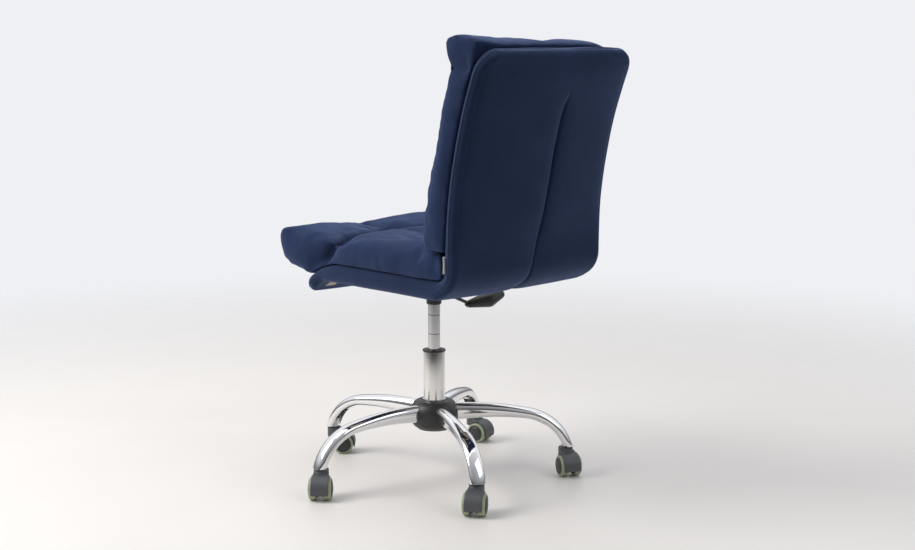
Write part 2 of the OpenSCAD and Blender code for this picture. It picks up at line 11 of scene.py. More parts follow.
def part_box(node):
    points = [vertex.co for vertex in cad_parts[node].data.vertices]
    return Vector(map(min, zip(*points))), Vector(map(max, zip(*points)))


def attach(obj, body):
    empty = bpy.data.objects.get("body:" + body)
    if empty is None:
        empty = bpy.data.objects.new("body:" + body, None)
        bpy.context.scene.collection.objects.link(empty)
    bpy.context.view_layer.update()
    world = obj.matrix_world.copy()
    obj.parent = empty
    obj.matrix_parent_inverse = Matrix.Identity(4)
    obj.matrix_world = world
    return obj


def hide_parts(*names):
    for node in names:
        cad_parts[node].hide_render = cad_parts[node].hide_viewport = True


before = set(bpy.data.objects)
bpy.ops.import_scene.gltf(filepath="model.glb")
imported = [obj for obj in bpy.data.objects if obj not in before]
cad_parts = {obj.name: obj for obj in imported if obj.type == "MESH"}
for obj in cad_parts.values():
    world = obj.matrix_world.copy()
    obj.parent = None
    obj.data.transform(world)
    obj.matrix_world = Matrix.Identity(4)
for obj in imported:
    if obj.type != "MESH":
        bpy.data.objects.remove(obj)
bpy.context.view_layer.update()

scene = bpy.context.scene

# ---------- Room, lights and camera ----------
# A pale studio: a wide floor that fades into a pale backdrop, a large soft light high on the left,
# a weaker one on the right and a big soft panel overhead.
scene.view_settings.view_transform = "Standard"
scene.view_settings.look = "None"

camera_place = Vector((2.287, 2.438, 1.007))
camera_heading = math.radians(225.896)
camera_tilt = math.radians(9.076)
camera_data = bpy.data.cameras.new("camera")
camera_data.sensor_width = 36.0
camera_data.lens = 57.6
camera = bpy.data.objects.new("camera", camera_data)
scene.collection.objects.link(camera)
scene.camera = camera
look = Vector((math.cos(camera_heading) * math.cos(camera_tilt),
               math.sin(camera_heading) * math.cos(camera_tilt), -math.sin(camera_tilt)))
camera.matrix_world = Matrix.Translation(camera_place) @ look.to_track_quat("-Z", "Y").to_matrix().to_4x4()

view_right = Vector((math.sin(camera_heading), -math.cos(camera_heading), 0))
view_near = Vector((-math.cos(camera_heading), -math.sin(camera_heading), 0))
light_aim = Vector((0, 0, 0.55))


def soft_light(name, right, near, height, size, watts, colour):
    """A square soft light, placed to the right of the chair, towards the camera and above the floor."""
    data = bpy.data.lights.new(name, "AREA")
    data.shape = "RECTANGLE"
    data.size, data.size_y = size
    data.energy = watts
    data.color = colour
    lamp = bpy.data.objects.new(name, data)
    scene.collection.objects.link(lamp)
    place = view_right * right + view_near * near + Vector((0, 0, height))
    aim_line = light_aim - place
    lamp.matrix_world = Matrix.Translation(place) @ aim_line.to_track_quat("-Z", "Y").to_matrix().to_4x4()


soft_light("key_light", -3.2, 0.6, 2.9, (2.2, 2.2), 112, (1.0, 0.985, 0.96))
soft_light("fill_light", 2.6, 1.6, 2.6, (2.0, 2.0), 24, (0.95, 0.97, 1.0))
soft_light("top_light", -0.3, -0.4, 3.4, (3.2, 3.2), 26, (1.0, 1.0, 1.0))


class Nodes:
    """A small helper that adds nodes to a tree and joins their sockets."""

    def __init__(self, tree):
        self.tree = tree

    def add(self, kind, settings=None, **inputs):
        node = self.tree.nodes.new(kind)
        for key, value in (settings or {}).items():
            setattr(node, key, value)
        for key, value in inputs.items():
            self.put(node, key.replace("_", " "), value)
        return node

    def put(self, node, key, value):
        socket = node.inputs[int(key) if key.isdigit() else key]
        if isinstance(value, bpy.types.NodeSocket):
            self.tree.links.new(value, socket)
        else:
            socket.default_value = value

    def math(self, operation, *values):
        node = self.add("ShaderNodeMath", {"operation": operation})
        for k, value in enumerate(values):
            self.put(node, str(k), value)
        return node.outputs[0]


world = bpy.data.worlds.new("studio")
scene.world = world
world.use_nodes = True
world.node_tree.nodes.clear()
w = Nodes(world.node_tree)
direction = w.add("ShaderNodeTexCoord").outputs["Generated"]
parts = w.add("ShaderNodeSeparateXYZ", Vector=direction).outputs
room_up = w.add("ShaderNodeMapRange", {"interpolation_type": "SMOOTHSTEP"}, Value=parts["Z"],
                From_Min=0.02, From_Max=0.42, To_Min=0.14, To_Max=0.60)
toward_camera = w.add("ShaderNodeVectorMath", {"operation": "DOT_PRODUCT"})
w.put(toward_camera, "0", direction)
w.put(toward_camera, "1", tuple(view_near))
room_near = w.add("ShaderNodeMapRange", Value=toward_camera.outputs["Value"], From_Min=-0.3,
                  From_Max=0.9, To_Min=1.0, To_Max=0.30)
room = w.math("MULTIPLY", room_up.outputs["Result"], room_near.outputs["Result"])
lit = w.add("ShaderNodeBackground", Color=(0.93, 0.95, 1.0, 1), Strength=room)
seen = w.add("ShaderNodeBackground", Color=(0.865, 0.873, 0.90, 1), Strength=1.0)
mirrored_gain = 1.75
reflected = w.add("ShaderNodeBackground", Color=(0.95, 0.96, 1.0, 1),
                  Strength=w.math("MULTIPLY", room, mirrored_gain))
path = w.add("ShaderNodeLightPath").outputs
glossy = w.add("ShaderNodeMixShader", Fac=path["Is Glossy Ray"])
w.put(glossy, "1", lit.outputs[0])
w.put(glossy, "2", reflected.outputs[0])
mix = w.add("ShaderNodeMixShader", Fac=path["Is Camera Ray"])
w.put(mix, "1", glossy.outputs[0])
w.put(mix, "2", seen.outputs[0])
w.add("ShaderNodeOutputWorld", Surface=mix.outputs[0])

floor_size = 9.0
floor_mesh = bpy.data.meshes.new("floor")
floor_mesh.from_pydata([(-floor_size, -floor_size, 0), (floor_size, -floor_size, 0),
                        (floor_size, floor_size, 0), (-floor_size, floor_size, 0)], [], [(0, 1, 2, 3)])
floor = bpy.data.objects.new("floor", floor_mesh)
scene.collection.objects.link(floor)
floor_finish = bpy.data.materials.new("pale_floor")
floor_finish.use_nodes = True
floor_finish.node_tree.nodes.clear()
n = Nodes(floor_finish.node_tree)
place = n.add("ShaderNodeTexCoord").outputs["Object"]
reach = n.add("ShaderNodeVectorMath", {"operation": "LENGTH"})
n.put(reach, "0", place)
fade = n.add("ShaderNodeMapRange", {"interpolation_type": "SMOOTHSTEP"}, Value=reach.outputs["Value"],
             From_Min=0.9, From_Max=3.2, To_Min=0.0, To_Max=1.0)
boards = n.add("ShaderNodeTexNoise", Vector=place, Scale=3.0, Detail=4.0)
tone = n.add("ShaderNodeMix", {"data_type": "RGBA"}, Factor=boards.outputs["Fac"])
n.put(tone, "6", (0.86, 0.82, 0.78, 1))
n.put(tone, "7", (0.91, 0.88, 0.845, 1))
matt = n.add("ShaderNodeBsdfPrincipled", Base_Color=tone.outputs[2], Roughness=0.45)
clear = n.add("ShaderNodeBsdfTransparent")
out = n.add("ShaderNodeMixShader", Fac=fade.outputs["Result"])
n.put(out, "1", matt.outputs[0])
n.put(out, "2", clear.outputs[0])
n.add("ShaderNodeOutputMaterial", Surface=out.outputs[0])
floor_mesh.materials.append(floor_finish)


# ---------- Star base: five chromed legs ----------
# Each leg is one length of oval steel tube, pressed lower and wider towards its tip, bent down to the
# caster, cut level and chromed. Under the bend the tube is left open. The legs are welded to the hub.
def finish(name, base, rough, metallic=0.0, bump=0.0004, bump_scale=300.0, tone=0.12, tone_scale=40.0,
           rough_spread=0.05, stretch=(1, 1, 1)):
    """A hard finish: a base colour with slow mottling, uneven roughness and a fine surface grain."""
    made = bpy.data.materials.new(name)
    made.use_nodes = True
    tree = made.node_tree
    tree.nodes.clear()
    n = Nodes(tree)
    place = n.add("ShaderNodeTexCoord").outputs["Object"]
    turned_place = n.add("ShaderNodeMapping", Vector=place, Scale=stretch).outputs[0]
    slow = n.add("ShaderNodeTexNoise", Vector=turned_place, Scale=tone_scale, Detail=5.0, Roughness=0.55)
    colour = n.add("ShaderNodeMix", {"data_type": "RGBA"}, Factor=slow.outputs["Fac"])
    n.put(colour, "6", tuple(max(0.0, c * (1 - tone)) for c in base) + (1,))
    n.put(colour, "7", tuple(min(1.0, c * (1 + tone)) for c in base) + (1,))
    uneven = n.add("ShaderNodeTexNoise", Vector=turned_place, Scale=tone_scale * 2.7, Detail=3.0)
    rough_range = n.add("ShaderNodeMapRange", Value=uneven.outputs["Fac"], From_Min=0.3, From_Max=0.7,
                        To_Min=max(0.0, rough - rough_spread), To_Max=rough + rough_spread)
    principled = n.add("ShaderNodeBsdfPrincipled", Base_Color=colour.outputs[2],
                       Roughness=rough_range.outputs["Result"], Metallic=metallic)
    grain = n.add("ShaderNodeTexNoise", Vector=turned_place, Scale=bump_scale, Detail=2.0)
    relief = n.add("ShaderNodeBump", Height=grain.outputs["Fac"], Strength=0.5, Distance=bump)
    n.put(principled, "Normal", relief.outputs[0])
    n.add("ShaderNodeOutputMaterial", Surface=principled.outputs[0])
    return made


def skin(rows, count, row_shut=False, loop_shut=True):
    """The four-sided faces between rows of count points; shut rows or loops join up with their first."""
    faces = []
    for i in range(rows if row_shut else rows - 1):
        k = (i + 1) % rows
        for j in range(count if loop_shut else count - 1):
            m = (j + 1) % count
            faces.append((i * count + j, k * count + j, k * count + m, i * count + m))
    return faces


def piece(name, verts, faces, material, recalc=True):
    """A mesh object at the origin, with its doubles merged and its faces pointing outwards."""
    mesh = bpy.data.meshes.new(name)
    mesh.from_pydata([tuple(v) for v in verts], [], faces)
    shape = bmesh.new()
    shape.from_mesh(mesh)
    bmesh.ops.remove_doubles(shape, verts=shape.verts, dist=1e-6)
    if recalc:
        bmesh.ops.recalc_face_normals(shape, faces=shape.faces)
    shape.to_mesh(mesh)
    shape.free()
    mesh.materials.append(material)
    for polygon in mesh.polygons:
        polygon.use_smooth = True
    made = bpy.data.objects.new(name, mesh)
    scene.collection.objects.link(made)
    return made


def baked(shape):
    """The same object with its modifiers worked into a plain mesh."""
    bpy.context.view_layer.update()
    mesh = bpy.data.meshes.new_from_object(shape.evaluated_get(bpy.context.evaluated_depsgraph_get()))
    materials = list(shape.data.materials)
    shape.modifiers.clear()
    shape.data = mesh
    if not len(mesh.materials):
        for m in materials:
            mesh.materials.append(m)
    for polygon in mesh.polygons:
        polygon.use_smooth = True
    return shape


chrome = finish("chrome", (0.80, 0.80, 0.81), 0.055, metallic=1.0, bump=0.0006, bump_scale=14.0, tone=0.03,
                tone_scale=25.0, rough_spread=0.025)

leg_wall = 0.0018
stem_reach = 0.309
first_heading = -8
leg_tip_x = stem_reach + 0.005
hub_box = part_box("hub_tube")
hub_radius = hub_box[1].x
leg_root_z = (hub_box[0].z + hub_box[1].z) / 2 - 0.002
arch_radius, bend_radius = 0.750, 0.117
bend_from, bend_to = math.radians(8), math.radians(64)
leg_end_z, bend_end_z = 0.067, 0.081
leg_bend_end = Vector((leg_tip_x - (bend_end_z - leg_end_z) / math.tan(bend_to), 0, bend_end_z))
leg_bend_start = leg_bend_end + bend_radius * Vector((
    math.sin(bend_from) - math.sin(bend_to), 0, math.cos(bend_from) - math.cos(bend_to)))
root_half_height, tube_half_height = 0.0215, 0.0125
root_half_width, tip_half_width, width_slope = 0.013, 0.0190, 0.0065 / 0.339
leg_root_angle = math.asin(math.sin(bend_from) - (leg_bend_start.x - hub_radius) / arch_radius)


def leg_path():
    """Stations along a leg: place on its centreline, downward heading, half height and half width."""
    stations = []
    for i in range(25):
        a = leg_root_angle + (bend_from - leg_root_angle) * i / 24
        x = leg_bend_start.x - arch_radius * (math.sin(bend_from) - math.sin(a))
        z = leg_bend_start.z + arch_radius * (math.cos(a) - math.cos(bend_from))
        stations.append((x, z, a, root_half_height - (root_half_height - tube_half_height) * i / 24))
    for i in range(1, 19):
        a = bend_from + (bend_to - bend_from) * i / 18
        x = leg_bend_end.x - bend_radius * (math.sin(bend_to) - math.sin(a))
        z = leg_bend_end.z + bend_radius * (math.cos(a) - math.cos(bend_to))
        stations.append((x, z, a, tube_half_height))
    return [(x, z, a, h, root_half_width + width_slope * x) for x, z, a, h in stations]


leg_sides = 40
open_rows, open_share = 11, 0.118
side_squareness, top_squareness = 0.80, 0.86
leg_verts, leg_faces = [], []
path = leg_path()
tip = (leg_tip_x, leg_end_z, bend_to, tube_half_height, tip_half_width)
for k, (x, z, a, high, wide) in enumerate(path + [tip]):
    level_cut = k == len(path)
    for j in range(leg_sides):
        t = 2 * math.pi * j / leg_sides
        c, s = math.cos(t), math.sin(t)
        side = wide * math.copysign(abs(c) ** side_squareness, c)
        up = high * math.copysign(abs(s) ** top_squareness, s)
        if level_cut:
            leg_verts.append((x + up / math.sin(bend_to), side, z))
        else:
            leg_verts.append((x + up * math.sin(a), side, z + up * math.cos(a)))
for k in range(len(path)):
    for j in range(leg_sides):
        under = abs((j + 0.5) / leg_sides - 0.75) < open_share
        if k >= len(path) - open_rows and under:
            continue
        a, b = k * leg_sides, (k + 1) * leg_sides
        m = (j + 1) % leg_sides
        leg_faces.append((a + j, b + j, b + m, a + m))
one_leg = piece("one_leg", leg_verts, leg_faces, chrome)
wall = one_leg.modifiers.new("wall", "SOLIDIFY")
wall.thickness = leg_wall
wall.offset = -1
rounding = one_leg.modifiers.new("rounding", "BEVEL")
rounding.width = 0.0005
rounding.segments = 2
rounding.angle_limit = math.radians(50)
baked(one_leg)


def geometry_tree(name, sockets):
    """An empty geometry node tree with a geometry in and out, and named inputs for its sizes."""
    tree = bpy.data.node_groups.new(name, "GeometryNodeTree")
    tree.interface.new_socket("Geometry", in_out="INPUT", socket_type="NodeSocketGeometry")
    tree.interface.new_socket("Geometry", in_out="OUTPUT", socket_type="NodeSocketGeometry")
    for label, kind in sockets:
        tree.interface.new_socket(label, in_out="INPUT", socket_type=kind)
    n = Nodes(tree)
    return tree, n, n.add("NodeGroupInput").outputs, n.add("NodeGroupOutput")


def run_tree(shape, tree, values):
    """Runs a geometry node tree on an object and keeps the result as its mesh."""
    modifier = shape.modifiers.new("rule", "NODES")
    modifier.node_group = tree
    names = {item.name: item.identifier for item in tree.interface.items_tree if item.in_out == "INPUT"}
    for label, value in values.items():
        modifier[names[label]] = value
    return baked(shape)


star_tree, n, given, result = geometry_tree("legs_around_hub", [
    ("Legs", "NodeSocketInt"), ("First Heading", "NodeSocketFloat"), ("Finish", "NodeSocketMaterial")])
spots = n.add("GeometryNodeMeshLine", Count=given["Legs"], Offset=(0, 0, 0))
number = n.add("GeometryNodeInputIndex").outputs[0]
share = n.math("DIVIDE", number, given["Legs"])
turn = n.math("MULTIPLY_ADD", share, 2 * math.pi, given["First Heading"])
heading = n.add("ShaderNodeCombineXYZ", Z=turn)
copies = n.add("GeometryNodeInstanceOnPoints", Points=spots.outputs[0], Instance=given["Geometry"],
               Rotation=heading.outputs[0])
real = n.add("GeometryNodeRealizeInstances", Geometry=copies.outputs[0])
coated = n.add("GeometryNodeSetMaterial", Geometry=real.outputs[0], Material=given["Finish"])
n.put(result, "Geometry", coated.outputs[0])
legs = run_tree(one_leg, star_tree, {
    "Legs": 5, "First Heading": math.radians(first_heading), "Finish": chrome})
legs.name = "chromed_legs"
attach(legs, "base")
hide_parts("leg_1", "leg_2", "leg_3", "leg_4", "leg_5")


# ---------- Hub and its cover ----------
# The legs meet on a short steel tube. A black moulded collar is pushed over the joint and hides the
# welds, with a rounded shoulder, a fine moulding line and a rolled lower edge.
def turned(name, profile, material, steps=96):
    """A turned piece: a closed (radius, height) outline spun around the chair's upright axis."""
    verts = []
    for i in range(steps):
        a = 2 * math.pi * i / steps
        verts += [(r * math.cos(a), r * math.sin(a), z) for r, z in profile]
    return piece(name, verts, skin(steps, len(profile), row_shut=True), material)


def rounded_outline(points, radius, steps=4):
    """A closed outline with each corner rounded."""
    made = []
    count = len(points)
    for i, p in enumerate(points):
        p = Vector(p)
        a, b = Vector(points[i - 1]) - p, Vector(points[(i + 1) % count]) - p
        reach = min(radius, 0.45 * a.length, 0.45 * b.length)
        a, b = p + a.normalized() * reach, p + b.normalized() * reach
        for k in range(steps + 1):
            t = k / steps
            made.append(a * (1 - t) ** 2 + p * 2 * t * (1 - t) + b * t * t)
    return [(q.x, q.y) for q in made]


black_plastic = finish("black_moulding", (0.030, 0.030, 0.031), 0.42, bump=0.0004, bump_scale=900.0,
                       tone=0.25, tone_scale=60.0, rough_spread=0.08)
cover_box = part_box("hub_cover")
cover_radius = cover_box[1].x
cover_mid = leg_root_z + 0.002
cover_inside = hub_radius + 0.0005
cover_rise, cover_drop = hub_box[1].z - 0.002 - cover_mid, 0.034
cover_outside = []
for i in range(29):
    a = math.radians(90 - 162 * i / 28)
    r = cover_inside + (cover_radius - cover_inside) * max(0.0, math.cos(a)) ** 0.78
    cover_outside.append((r, cover_mid + (cover_rise if a > 0 else cover_drop) * math.sin(a)))
cover_outside.insert(1, (hub_radius + 0.004, cover_outside[0][1]))
bead = cover_outside[-1]
cover_outline = cover_outside + [(bead[0] - 0.0005, bead[1] - 0.002),
                                 (bead[0] - 0.0025, bead[1] - 0.0025)]
cover_outline += [(cover_inside + (r - cover_inside) * 0.9, cover_mid + (z - cover_mid) * 0.93)
                  for r, z in reversed(cover_outside[3:])]
cover_outline += [(cover_inside, cover_outside[0][1] - 0.003)]
cover = turned("hub_collar", cover_outline, black_plastic, steps=128)
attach(cover, "base")
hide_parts("hub_cover")

plain_steel = finish("zinc_steel", (0.55, 0.55, 0.56), 0.30, metallic=1.0, bump=0.0003, bump_scale=500.0,
                     tone=0.1, rough_spread=0.08)


def dress(node, material):
    """Gives a CAD node its finish."""
    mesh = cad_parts[node].data
    mesh.materials.clear()
    mesh.materials.append(material)


dress("hub_tube", chrome)
dress("stem_sockets", plain_steel)

# ---------- Gas lift ----------
# A plain chromed column tube is pressed into the hub. A polished cylinder slides in it through a black
# bush, and its taper carries the seat. Two turned rings show on the cylinder.
column_chrome = finish("column_chrome", (0.74, 0.73, 0.71), 0.13, metallic=1.0, bump=0.0004,
                       bump_scale=260.0, tone=0.05, tone_scale=30.0, rough_spread=0.05,
                       stretch=(1, 1, 0.05))
cylinder_chrome = finish("cylinder_chrome", (0.60, 0.60, 0.61), 0.10, metallic=1.0, bump=0.0003,
                         bump_scale=400.0, tone=0.04, tone_scale=50.0, rough_spread=0.04,
                         stretch=(1, 1, 0.04))
lower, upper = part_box("column_tube")
column_radius = upper.x
column_inside = column_radius - 0.002
floor_top, rod_hole = lower.z + 0.003, 0.0041
column = turned("outer_column", rounded_outline([
    (column_radius, lower.z), (column_radius, upper.z), (column_inside, upper.z),
    (column_inside, floor_top), (rod_hole, floor_top), (rod_hole, lower.z)], 0.0008), column_chrome)
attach(column, "base")
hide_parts("column_tube")

lower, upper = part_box("column_bush")
bush_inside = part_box("gas_cylinder")[1].x + 0.00005
flange_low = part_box("column_tube")[1].z
bush = turned("lift_bush", rounded_outline([
    (upper.x, flange_low), (upper.x, upper.z), (bush_inside, upper.z), (bush_inside, lower.z),
    (column_inside, lower.z), (column_inside, flange_low)], 0.0012), black_plastic)
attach(bush, "base")
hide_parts("column_bush")

dress("gas_cylinder", cylinder_chrome)
ring_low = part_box("taper_collar")[0].z
groove_floor, ring_face = bush_inside - 0.00055, bush_inside - 0.0002
ring_height = 0.0014
for number, drop in enumerate((0.025, 0.070), 1):
    low, high = ring_low - drop, ring_low - drop + ring_height
    seal = turned("cylinder_ring_%d" % number, [
        (groove_floor, low), (ring_face, low), (ring_face, high), (groove_floor, high)], black_plastic)
    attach(seal, "seat")
dress("piston_rod", cylinder_chrome)
dress("valve_button", plain_steel)
black_steel = finish("black_painted_steel", (0.022, 0.022, 0.023), 0.38, bump=0.0005, bump_scale=700.0, tone=0.3,
                     tone_scale=80.0, rough_spread=0.1)
dress("thrust_bearing", plain_steel)
dress("retaining_clip", black_steel)

# ---------- Seat fixing and height lever ----------
# The cylinder's taper sits in a steel collar in a small pressed box under the seat plate, which is
# bolted up into the shell. A bent rod in the box presses the valve, and a moulded grip is pushed on it.
lower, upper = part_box("taper_collar")
collar = turned("steel_collar", rounded_outline([
    (upper.x - 0.002, lower.z), (upper.x, lower.z + 0.002), (upper.x, upper.z),
    (bush_inside, upper.z), (bush_inside, lower.z)], 0.0008), black_steel)
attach(collar, "seat")
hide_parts("taper_collar")
for node in ("mechanism_box", "seat_plate"):
    dress(node, black_steel)
for node in ("seat_bolts", "tee_nuts", "lever_pin"):
    dress(node, plain_steel)
dress("lever_rod", black_steel)


def moulded(name, node, material, voxel, rounds):
    """A copy of a CAD node, remeshed finely and eased, so that its edges have a moulding's soft radius."""
    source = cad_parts[node].data.copy()
    shape = bpy.data.objects.new(name, source)
    scene.collection.objects.link(shape)
    clean = bmesh.new()
    clean.from_mesh(source)
    bmesh.ops.remove_doubles(clean, verts=clean.verts, dist=1e-6)
    clean.to_mesh(source)
    clean.free()
    source.materials.clear()
    source.materials.append(material)
    remesh = shape.modifiers.new("remesh", "REMESH")
    remesh.mode = "VOXEL"
    remesh.voxel_size = voxel
    remesh.adaptivity = 0.0
    ease = shape.modifiers.new("ease", "SMOOTH")
    ease.factor = 0.5
    ease.iterations = rounds
    baked(shape)
    shape.data.materials.clear()
    shape.data.materials.append(material)
    return shape


grip = moulded("lever_grip", "lever_paddle", black_plastic, 0.0016, 14)
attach(grip, "lever")
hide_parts("lever_paddle")


# ---------- Upholstered shell ----------
# A bent plywood board is padded with foam and covered in one navy suede cloth. The edges are soft, the
# front turns down in a thin lip, and a sewn crease runs down the outside of the back.
def suede(name, dark, light, sheen, seed=0.0):
    """Brushed suede cloth: cloudy brushed patches, a fine nap, and a soft sheen at grazing angles."""
    made = bpy.data.materials.new(name)
    made.use_nodes = True
    tree = made.node_tree
    tree.nodes.clear()
    n = Nodes(tree)
    place = n.add("ShaderNodeTexCoord").outputs["Object"]
    spot = n.add("ShaderNodeMapping", Vector=place, Location=(seed, seed * 0.7, -seed)).outputs[0]
    cloud = n.add("ShaderNodeTexNoise", Vector=spot, Scale=9.0, Detail=5.0, Roughness=0.6)
    brushed = n.add("ShaderNodeMapping", Vector=spot, Scale=(1.0, 1.0, 0.35)).outputs[0]
    fibre = n.add("ShaderNodeTexNoise", Vector=brushed, Scale=340.0, Detail=4.0, Roughness=0.7)
    fibre_share = 0.45
    blend = n.math("MULTIPLY_ADD", fibre.outputs["Fac"], fibre_share, -fibre_share / 2)
    both = n.math("ADD", cloud.outputs["Fac"], blend)
    level = n.add("ShaderNodeMapRange", Value=both, From_Min=0.25, From_Max=0.75)
    cloth_colour = n.add("ShaderNodeMix", {"data_type": "RGBA"}, Factor=level.outputs["Result"])
    n.put(cloth_colour, "6", tuple(dark) + (1,))
    n.put(cloth_colour, "7", tuple(light) + (1,))
    edge = n.add("ShaderNodeNewGeometry").outputs["Pointiness"]
    worn = n.add("ShaderNodeMapRange", Value=edge, From_Min=0.50, From_Max=0.60, To_Min=0.0, To_Max=0.35)
    rubbed = n.add("ShaderNodeMix", {"data_type": "RGBA"}, Factor=worn.outputs["Result"])
    n.put(rubbed, "6", cloth_colour.outputs[2])
    n.put(rubbed, "7", tuple(min(1.0, c * 1.7) for c in light) + (1,))
    nap = n.add("ShaderNodeTexNoise", Vector=spot, Scale=1500.0, Detail=2.0, Roughness=0.6)
    weave = n.math("MULTIPLY_ADD", cloud.outputs["Fac"], 0.6, nap.outputs["Fac"])
    relief = n.add("ShaderNodeBump", Height=weave, Strength=0.55, Distance=0.0008)
    shader = n.add("ShaderNodeBsdfPrincipled", Base_Color=rubbed.outputs[2], Roughness=0.88,
                   Normal=relief.outputs[0])
    shader.inputs["Specular IOR Level"].default_value = 0.18
    shader.inputs["Sheen Weight"].default_value = sheen
    shader.inputs["Sheen Roughness"].default_value = 0.42
    shader.inputs["Sheen Tint"].default_value = (0.42, 0.55, 1.0, 1)
    n.add("ShaderNodeOutputMaterial", Surface=shader.outputs[0])
    return made


shell_cloth = suede("shell_suede", (0.0086, 0.0176, 0.0500), (0.0140, 0.0276, 0.0760), sheen=0.50)
plywood = finish("plywood", (0.55, 0.38, 0.20), 0.6, bump=0.0006, bump_scale=120.0, tone=0.25,
                 tone_scale=14.0, stretch=(1, 6, 6))
dress("shell_board", plywood)

plate_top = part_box("seat_plate")[1].z
seat_thick, back_thick = 0.042, 0.034
seat_top = plate_top + seat_thick
shell_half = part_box("shell_outer_cover")[1].x
shell_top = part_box("shell_inner_cover")[1].z
front_turn, front_angle = 0.180, math.radians(42)
front_centre = (-0.0654, seat_top - front_turn)
lip_thick = 0.030
inner_turn, outer_turn = 0.028, 0.080
bend_centre = (0.245, seat_top + inner_turn)
back_turn = 1.100
back_centre = (bend_centre[0] + inner_turn + back_turn, bend_centre[1])
soft_edge = 0.015
top_corner, front_corner = 0.055, 0.030


def crease_at(y, z):
    """Where the back's crease lies across the chair: it leans over on its way up."""
    if z < seat_top and y < 0.27:
        return -0.005
    return float(np.interp(z, (0.53, 0.565, 0.64, 0.72), (-0.005, -0.014, -0.026, -0.033)))


def shell_stations():
    """Stations from the front lip to the top: inner face (y, z), outward direction, thickness."""
    rows = []
    for i in range(17):
        a = front_angle * (1 - i / 16)
        y = front_centre[0] - front_turn * math.sin(a)
        z = front_centre[1] + front_turn * math.cos(a)
        thick = max(lip_thick - 0.001, (z - plate_top) / math.cos(a))
        rows.append((y, z, math.sin(a), -math.cos(a), thick))
    for i in range(1, 22):
        y = front_centre[0] + (bend_centre[0] - front_centre[0]) * i / 21
        rows.append((y, seat_top, 0, -1, seat_thick))
    offset = Vector((bend_centre[0] - 0.227, bend_centre[1] - plate_top - outer_turn))
    for i in range(1, 21):
        b = math.pi / 2 * i / 20
        ray = Vector((math.sin(b), -math.cos(b)))
        along = offset.dot(ray)
        out = -along + math.sqrt(along * along - offset.length_squared + outer_turn ** 2)
        rows.append((bend_centre[0] + inner_turn * ray.x, bend_centre[1] + inner_turn * ray.y, ray.x, ray.y,
                     max(back_thick, out - inner_turn)))
    last = math.asin((shell_top - soft_edge - back_centre[1]) / back_turn)
    for i in range(1, 57):
        a = last * i / 56
        rows.append((back_centre[0] - back_turn * math.cos(a), back_centre[1] + back_turn * math.sin(a),
                     math.cos(a), -math.sin(a), back_thick))
    return rows


def smooth_step(value, low, high):
    t = np.clip((value - low) / (high - low), 0, 1)
    return t * t * (3 - 2 * t)


def face_places(crease_x):
    """Places across a face from -1 to 1, close together near the crease."""
    centre, clear = crease_x / shell_half, 0.036 / shell_half
    beside = (0.0012, 0.0025, 0.004, 0.006, 0.009, 0.013, 0.020, 0.030)
    near = [centre + d / shell_half for d in [-b for b in reversed(beside)] + [0] + list(beside)]
    left = [-1 + (centre - clear + 1) * (1 - math.cos(math.pi * i / 40)) for i in range(20)]
    right = [1 - (1 - centre - clear) * (1 - math.cos(math.pi * i / 40)) for i in range(19, -1, -1)]
    return left + near + right


def corner_inset(radius, reach):
    """How far a rounded corner's edge lies inside the side, at a distance in from the end."""
    return radius - math.sqrt(max(0.0, radius ** 2 - (radius - reach) ** 2))


rows = shell_stations()
front_row, top_row = rows[0], rows[-1]
ends = []
for k in range(1, 7):
    t = math.pi / 2 * k / 6
    ends.append((math.sin(t), max(0.02, math.cos(t))))
sections = []
for step, share in reversed(ends):
    y, z, dy, dz, thick = front_row
    sections.append((y + dz * step * lip_thick / 2, z - dy * step * lip_thick / 2, dy, dz, thick, share))
for row in rows:
    sections.append(row + (1.0,))
for step, share in ends:
    y, z, dy, dz, thick = top_row
    reach = soft_edge * step
    sections.append((y - dz * reach, z + dy * reach, dy, dz, thick, 0.12 + 0.88 * share))

